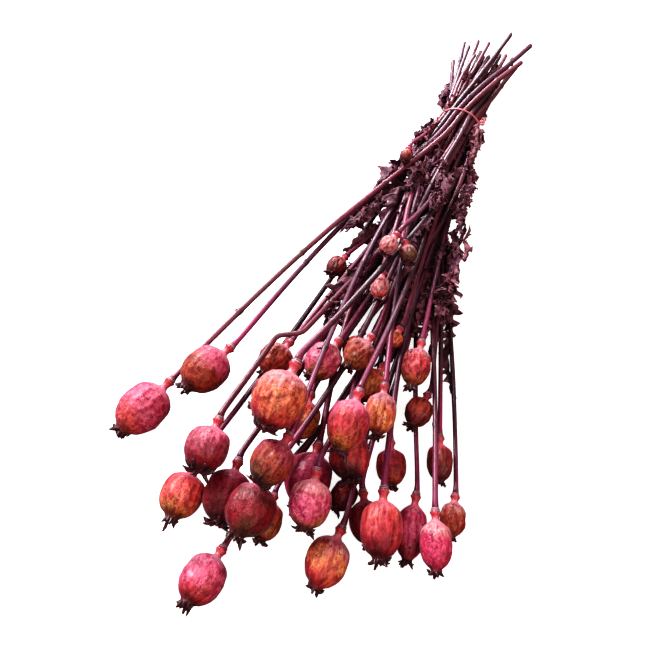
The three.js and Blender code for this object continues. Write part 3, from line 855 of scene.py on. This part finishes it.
def add_leaf(name, seed, material):
    """A clump of crumpled leaves along the line of a leaf's solid."""
    rng = np.random.default_rng(seed)
    rings = rings_of(name)
    line = smooth_line([centre for centre, _ in rings], 3)
    radius = max(r for _, r in rings)
    low = line[:, 2].mean() < LOW_LEAF_HEIGHT
    width = radius * (LOW_LEAF_WIDTH if low else HIGH_LEAF_WIDTH)
    surface = Surface()
    for sheet in range(SHEETS_IN_LEAF):
        dye = LEAF_DYES[rng.integers(len(LEAF_DYES))]
        first = int(len(line) * rng.uniform(0, 0.3)) if sheet else 0
        last = int(len(line) * rng.uniform(0.7, 1)) if sheet else len(line)
        points, edges = leaf_sheet(line[first:last], width * rng.uniform(0.75, 1.2), rng)
        points = points + rng.normal(0, 0.45 * radius, 3)
        points[..., 2] = np.maximum(points[..., 2], LOWEST_LEAF + 0.2 * sheet)
        add_leaf_sheet(surface, points, edges, dye, rng)
    piece = surface.build(name + "_crumpled", material)
    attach(piece, "root")
    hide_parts(name)


def stem_at(poppy, heights):
    """Where a stem crosses planes of constant Y."""
    stem = poppy.stem[np.argsort(poppy.stem[:, 1])]
    return points_at(heights, stem[:, 1], stem)


def stem_leaf_line(poppy, top, rng):
    """The midrib of a dry leaf that clasps a stem at one height and lies along it towards the head."""
    length = rng.uniform(*STEM_LEAF_LENGTHS)
    steps = np.linspace(0, 1, 12)
    line = stem_at(poppy, top - steps * length)
    drift = rng.normal(0, 9) * steps**1.3
    sag = -rng.uniform(2, 10) * steps**1.5
    line[:, 0] += drift + 2.5 * np.sin(steps * rng.uniform(4, 8) + rng.uniform(0, 6)) * steps
    line[:, 2] = np.maximum(line[:, 2] + sag, 2.0)
    return line


def leaf_chance(poppy, poppies, top):
    """How likely a stem has a leaf at one height: more low in the bunch and at its two edges."""
    spots = np.array([stem_at(other, top) for other in poppies])
    here = stem_at(poppy, top)
    rank = (spots[:, 2] < here[2]).mean()
    side = (spots[:, 0] < here[0]).mean()
    edge = abs(side - 0.5) * 2
    bare = top > HIGH_LEAF_TOP and edge > 0.6 or top < LEFT_LEAF_LOW and side < 0.15
    if bare or poppy.stem[-1, 1] >= top - 30:
        return 0.0
    more = LEFT_LEAF_EXTRA * (LEFT_LEAF_LOW < top < HIGH_LEAF_TOP and side < 0.4)
    return STEM_LEAF_CHANCE * (1 - rank + 0.6 * edge**3) + more


def add_stem_leaves(poppies, material):
    """Dry leaves left on the stems."""
    rng = np.random.default_rng(STEM_LEAF_SEED)
    for poppy in poppies:
        surface = Surface()
        for top in STEM_LEAF_TOPS:
            top = top + rng.uniform(-16, 16)
            if rng.random() > leaf_chance(poppy, poppies, top):
                continue
            line = stem_leaf_line(poppy, top, rng)
            points, edges = leaf_sheet(line, rng.uniform(*STEM_LEAF_WIDTHS), rng)
            points[..., 2] = np.maximum(points[..., 2], LOWEST_LEAF)
            add_leaf_sheet(surface, points, edges, LEAF_DYES[rng.integers(len(LEAF_DYES))], rng)
        if surface.count:
            piece = surface.build(poppy.name + "_leaves", material)
            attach(piece, "root")


# ------------------------ tie


def loop_round(poppies, plane, lift):
    """The closed line of a taut band round the stems where they cross a plane of constant Y."""
    spots = []
    for poppy in poppies:
        index = int(np.argmax(poppy.stem[:, 1] < plane))
        a, b = poppy.stem[index - 1], poppy.stem[index]
        t = (a[1] - plane) / (a[1] - b[1])
        spots.append((*(a + (b - a) * t)[[0, 2]], poppy.stem_radii[index]))
    spots = np.array(spots)
    points = []
    for angle in column_angles(BAND_POINTS):
        way = np.array([math.cos(angle), math.sin(angle)])
        best = spots[np.argmax(spots[:, :2] @ way + spots[:, 2])]
        x, z = best[:2] + way * (best[2] + lift)
        points.append((x, plane, z))
    return np.array(points)


def add_closed_tube(surface, line, radius, dye):
    """A thin tube round a closed line."""
    ways = unit(np.roll(line, -1, 0) - np.roll(line, 1, 0))
    beside = unit(np.cross(ways, unit(line - line.mean(0))))[:, None]
    out = np.cross(beside, ways[:, None])
    angles = column_angles(TUBE_COLUMNS)
    around = out * np.cos(angles)[:, None] + beside * np.sin(angles)[:, None]
    row = np.arange(len(line))[:, None] * TUBE_COLUMNS
    below = np.roll(row, -1)
    here = np.arange(TUBE_COLUMNS)
    after = (here + 1) % TUBE_COLUMNS
    faces = np.stack([row + here, row + after, below + after, below + here], -1).reshape(-1, 4).tolist()
    grain = streak_grain(angles, distances(line), 7.0)
    surface.add(line[:, None] + radius * around, faces, dye, grain, 0.0)


def add_tie(poppies, material):
    low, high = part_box("tie")
    plane = 0.5 * (low.y + high.y) / MM
    surface = Surface()
    for shift, slope in BAND_TURNS:
        loop = loop_round(poppies, plane, BAND_LIFT + BAND_RADIUS)
        loop = smooth_line(np.vstack([loop, loop[:1]]), BAND_STEP)[:-1]
        angle = np.arctan2(loop[:, 2] - loop[:, 2].mean(), loop[:, 0] - loop[:, 0].mean())
        loop[:, 1] += shift + slope * np.sin(angle) - BAND_TILT * (loop[:, 2] - loop[:, 2].mean())
        add_closed_tube(surface, loop, BAND_RADIUS, BAND_DYE)
    add_knot(surface, loop_round(poppies, plane, BAND_LIFT + KNOT_LIFT))
    piece = surface.build("elastic_band", material)
    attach(piece, "root")
    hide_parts("tie")


def add_knot(surface, loop):
    """Two small interlocked turns and two tails on the loop's right shoulder."""
    centre = loop[int(len(loop) * KNOT_PLACE)]
    out = unit((centre - loop.mean(0)) * [1, 0, 1])
    y = np.array([0.0, 1.0, 0.0])
    over = np.cross(out, y)
    turns = column_angles(28)[:, None]
    for tilt, size in KNOT_TURNS:
        first = unit(y + over * tilt)
        line = centre + out * 1.4 + first * np.cos(turns) * size + out * np.sin(turns) * size * 0.62
        line = line + over * np.sin(2 * turns) * 0.9
        add_closed_tube(surface, line, BAND_RADIUS * 0.95, BAND_DYE)
    for side in (-1, 1):
        line = np.array([
            centre + out * 1.0,
            centre + out * 3.0 + y * side * 3.5,
            centre + out * 3.4 + y * side * 7.0 - over * 2.0 * side,
            centre + out * 1.6 + y * side * 10.5 - over * 4.5 * side,
        ])
        line = smooth_line(line, 0.8)
        angles = column_angles(TUBE_COLUMNS)
        rings = swept(line, BAND_RADIUS * np.linspace(1, 0.8, len(line)), angles)
        surface.rings(rings, BAND_DYE, streak_grain(angles, distances(line), 3.0), 0.0)


# ------------------------ materials


def new_material(name):
    material = bpy.data.materials.new(name)
    material.use_nodes = True
    tree = material.node_tree
    shader = next(n for n in tree.nodes if n.type == "BSDF_PRINCIPLED")
    return material, tree, shader


def set_inputs(tree, node, inputs):
    """Links each input of a node to another node's output, or sets it to a number or a colour."""
    for key, value in inputs.items():
        if isinstance(value, bpy.types.NodeSocket):
            tree.links.new(value, node.inputs[key])
        else:
            node.inputs[key].default_value = value


def add_node(tree, kind, inputs=(), **settings):
    made = tree.nodes.new(kind)
    for key, value in settings.items():
        setattr(made, key, value)
    set_inputs(tree, made, dict(inputs))
    return made


def noise_node(tree, place, scale, detail=3.0, rough=0.55):
    inputs = {"Vector": place, "Scale": scale, "Detail": detail, "Roughness": rough}
    return add_node(tree, "ShaderNodeTexNoise", inputs).outputs["Fac"]


def range_node(tree, value, low, high, to_low=0.0, to_high=1.0):
    inputs = {"Value": value, "From Min": low, "From Max": high, "To Min": to_low, "To Max": to_high}
    made = add_node(tree, "ShaderNodeMapRange", inputs, interpolation_type="SMOOTHSTEP")
    return made.outputs["Result"]


def math_node(tree, operation, a, b):
    return add_node(tree, "ShaderNodeMath", {0: a, 1: b}, operation=operation).outputs[0]


def mix_node(tree, share, a, b, blend="MIX"):
    a, b = [(*value, 1) if isinstance(value, tuple) else value for value in (a, b)]
    made = add_node(tree, "ShaderNodeMix", {0: share, 6: a, 7: b}, data_type="RGBA", blend_type=blend)
    return made.outputs[2]


def attribute_node(tree, name, output):
    return add_node(tree, "ShaderNodeAttribute", attribute_name=name).outputs[output]


def bump_node(tree, distance, height):
    inputs = {"Strength": 0.8, "Distance": distance, "Height": height}
    return add_node(tree, "ShaderNodeBump", inputs).outputs["Normal"]


def poppy_material():
    """Dry dyed skin, mottled on the seed cases and streaked along the stems."""
    material, tree, shader = new_material("dyed_poppy_skin")
    grain = attribute_node(tree, "grain", "Vector")
    fleck = attribute_node(tree, "fleck", "Fac")
    spots = range_node(tree, noise_node(tree, grain, 0.95, 2.0, 0.5), 0.56, 0.62)
    cells = cells_node(tree, grain, 0.48)
    streak = noise_node(tree, grain, 1.3, 3.0, 0.6)
    height = skin_height(tree, grain, fleck, spots, cells, streak)
    set_inputs(tree, shader, {
        "Base Color": skin_colour(tree, grain, fleck, spots, cells, streak),
        "Roughness": range_node(tree, noise_node(tree, grain, 0.7, 3.0), 0.3, 0.7, 0.40, 0.60),
        "Normal": bump_node(tree, 0.0006, height),
        "Coat Weight": range_node(tree, fleck, 0.0, 1.0, 0.5, 0.16),
        "Coat Roughness": 0.24,
        "Specular IOR Level": 0.4,
        "Sheen Weight": 0.15,
        "Sheen Roughness": 0.4,
        "Sheen Tint": (1.0, 0.78, 0.92, 1),
    })
    return material


def skin_colour(tree, grain, fleck, spots, cells, streak):
    """The dye, with patches, blotches and spots on a case, painted shade in the grooves between its
    cells, and streaks on a stem.
    """
    dye = attribute_node(tree, "dye", "Color")
    blotch = range_node(tree, noise_node(tree, grain, 0.26, 4.0, 0.6), 0.47, 0.60)
    areas = range_node(tree, noise_node(tree, grain, 0.11, 2.0, 0.5), 0.40, 0.60, 0.25, 1.0)
    pale = range_node(tree, noise_node(tree, grain, 0.22, 4.0, 0.6), 0.46, 0.68)
    dark = mix_node(tree, 1.0, dye, DARK_PATCH, "MULTIPLY")
    light = mix_node(tree, 1.0, dye, PALE_PATCH, "MULTIPLY")
    colour = mix_node(tree, product_node(tree, pale, fleck, 0.5), dye, light)
    colour = mix_node(tree, product_node(tree, blotch, areas, fleck, 0.35), colour, dark)
    colour = mix_node(tree, product_node(tree, spots, areas, fleck, 0.9), colour, dark)
    # Painted shade: the dye is darkened along the cell borders, the low grooves of the skin's bumps
    painted_groove_shade = range_node(tree, cells, 0.02, 0.12, 0.28, 0.0)
    colour = mix_node(tree, product_node(tree, painted_groove_shade, fleck), colour, dark)
    stem_tone = grey_node(tree, range_node(tree, streak, 0.32, 0.68, 0.55, 1.3))
    head_tone = grey_node(tree, range_node(tree, streak, 0.32, 0.68, 0.86, 1.10))
    return mix_node(tree, 1.0, colour, mix_node(tree, fleck, stem_tone, head_tone), "MULTIPLY")


def skin_height(tree, grain, fleck, spots, cells, streak):
    """The height of the skin's bumps: cells and pits on a case, and a fine grain everywhere."""
    swell = product_node(tree, range_node(tree, cells, 0.0, 0.35), fleck, 0.3)
    fine = math_node(tree, "MULTIPLY", noise_node(tree, grain, 2.0, 3.0), 0.35)
    pits = product_node(tree, spots, fleck, -0.3)
    grainy = math_node(tree, "ADD", product_node(tree, streak, 0.35), fine)
    return math_node(tree, "ADD", swell, math_node(tree, "ADD", grainy, pits))


def cells_node(tree, place, scale):
    """Distance from the border of small irregular cells, as in puckered skin."""
    inputs = {"Vector": place, "Scale": scale, "Randomness": 1.0}
    made = add_node(tree, "ShaderNodeTexVoronoi", inputs, feature="DISTANCE_TO_EDGE")
    return made.outputs["Distance"]


def product_node(tree, *values):
    result = values[0]
    for value in values[1:]:
        result = math_node(tree, "MULTIPLY", result, value)
    return result


def grey_node(tree, value):
    return add_node(tree, "ShaderNodeCombineColor", {0: value, 1: value, 2: value}).outputs[0]


def leaf_material():
    """Brittle dried leaf: dark, veined and dusty, with pinkish edges that are a painted highlight."""
    material, tree, shader = new_material("dried_leaf")
    dye = attribute_node(tree, "dye", "Color")
    grain = attribute_node(tree, "grain", "Vector")
    patch = range_node(tree, noise_node(tree, grain, 0.35, 4.0, 0.6), 0.35, 0.65, 0.5, 1.5)
    fine = noise_node(tree, grain, 1.2, 5.0, 0.65)
    set_inputs(tree, shader, {
        "Base Color": mix_node(tree, 1.0, dye, grey_node(tree, patch), "MULTIPLY"),
        "Roughness": range_node(tree, fine, 0.3, 0.7, 0.5, 0.75),
        "Normal": bump_node(tree, 0.0012, fine),
        "Specular IOR Level": 0.4,
    })
    return material


def band_material():
    """Thin pink elastic, smooth with faint dust."""
    material, tree, shader = new_material("pink_elastic")
    dye = attribute_node(tree, "dye", "Color")
    grain = attribute_node(tree, "grain", "Vector")
    dust = range_node(tree, noise_node(tree, grain, 0.8, 4.0), 0.35, 0.7, 0.8, 1.15)
    set_inputs(tree, shader, {
        "Base Color": mix_node(tree, 1.0, dye, grey_node(tree, dust), "MULTIPLY"),
        "Roughness": range_node(tree, noise_node(tree, grain, 1.5, 2.0), 0.3, 0.7, 0.35, 0.5),
    })
    return material


def floor_material():
    material, tree, shader = new_material("pale_floor")
    place = add_node(tree, "ShaderNodeTexCoord").outputs["Object"]
    mottle = range_node(tree, noise_node(tree, place, 30.0, 2.0), 0.3, 0.7, 0.84, 0.88)
    set_inputs(tree, shader, {
        "Base Color": grey_node(tree, mottle),
        "Roughness": 0.9,
        "Specular IOR Level": 0.1,
        "Emission Color": (1, 1, 1, 1),
        "Emission Strength": FLOOR_GLOW,
    })
    return material


# ------------------------ stage


def tie_foot():
    """The point on the table under the tie, in millimetres."""
    low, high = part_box("tie")
    return np.array([TIE_FOOT_X, 0.5 * (low.y + high.y) / MM, 0.0])


def ground_way(right, ahead):
    """A level direction given to the right of and ahead of the camera."""
    turn = math.radians(CAMERA_HEADING)
    return np.array([
        right * math.cos(turn) - ahead * math.sin(turn),
        right * math.sin(turn) + ahead * math.cos(turn),
        0.0,
    ])


def add_camera():
    data = bpy.data.cameras.new("camera")
    data.sensor_width = SENSOR_WIDTH
    data.lens = CAMERA_LENS
    data.clip_start = 0.01
    camera = new_object("camera", data)
    place = tie_foot() + ground_way(-CAMERA_LEFT, -CAMERA_BACK) + np.array([0, 0, CAMERA_HEIGHT])
    camera.location = Vector(place * MM)
    camera.rotation_euler = (math.radians(90 - CAMERA_PITCH), 0, math.radians(CAMERA_HEADING))
    bpy.context.scene.camera = camera


def add_light(name, right, ahead, up, size, power, colour):
    """A soft square light, aimed at the middle of the bunch."""
    data = bpy.data.lights.new(name, "AREA")
    data.size = size
    data.energy = power
    data.color = colour
    light = new_object(name, data)
    light.location = Vector((ground_way(right, ahead) + np.array([0, 0, up])) * MM)
    aim = Vector(LIT_SPOT) * MM - light.location
    light.rotation_euler = aim.to_track_quat("-Z", "Y").to_euler()


def add_floor():
    mesh = bpy.data.meshes.new("floor")
    edge = FLOOR_EDGE
    corners = [(-edge, -edge, 0), (edge, -edge, 0), (edge, edge, 0), (-edge, edge, 0)]
    mesh.from_pydata(corners, [], [(0, 1, 2, 3)])
    mesh.materials.append(floor_material())
    floor = new_object("floor", mesh)
    floor.visible_diffuse = False
    floor.visible_glossy = False


def add_sky():
    """A sky that is cool on the left and warm on the right, over a dim ground."""
    world = bpy.data.worlds.new("studio")
    world.use_nodes = True
    tree = world.node_tree
    way = add_node(tree, "ShaderNodeTexCoord").outputs["Generated"]
    parts = add_node(tree, "ShaderNodeSeparateXYZ", {0: way}).outputs
    sky = mix_node(tree, range_node(tree, parts["X"], -0.6, 0.6), LEFT_SKY, RIGHT_SKY)
    light = mix_node(tree, range_node(tree, parts["Z"], -0.2, 0.6), GROUND_LIGHT, sky)
    set_inputs(tree, tree.nodes["Background"], {"Color": light, "Strength": SKY_STRENGTH})
    bpy.context.scene.world = world


def add_stage():
    add_floor()
    add_sky()
    for light in LIGHTS:
        add_light(*light)
    set_tones()


def set_tones():
    """A plain view with the deep, rich darks of a hard print."""
    view = bpy.context.scene.view_settings
    view.view_transform = "Standard"
    view.use_curve_mapping = True
    curve = view.curve_mapping.curves[3]
    for linear, shown in TONE_CURVE:
        curve.points.new(linear, shown)
    view.curve_mapping.update()


# ------------------------ making it

skin = poppy_material()
leafy = leaf_material()
elastic = band_material()
add_camera()
poppies = [
    add_poppy(f"poppy_{number:02d}", look, number, skin) for number, look in enumerate(HEADS, 1)
]
leaf_names = sorted(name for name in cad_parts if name.startswith("leaf_"))
for number, name in enumerate(leaf_names):
    add_leaf(name, 100 + number, leafy)
add_stem_leaves(poppies, leafy)
add_tie(poppies, elastic)
add_stage()
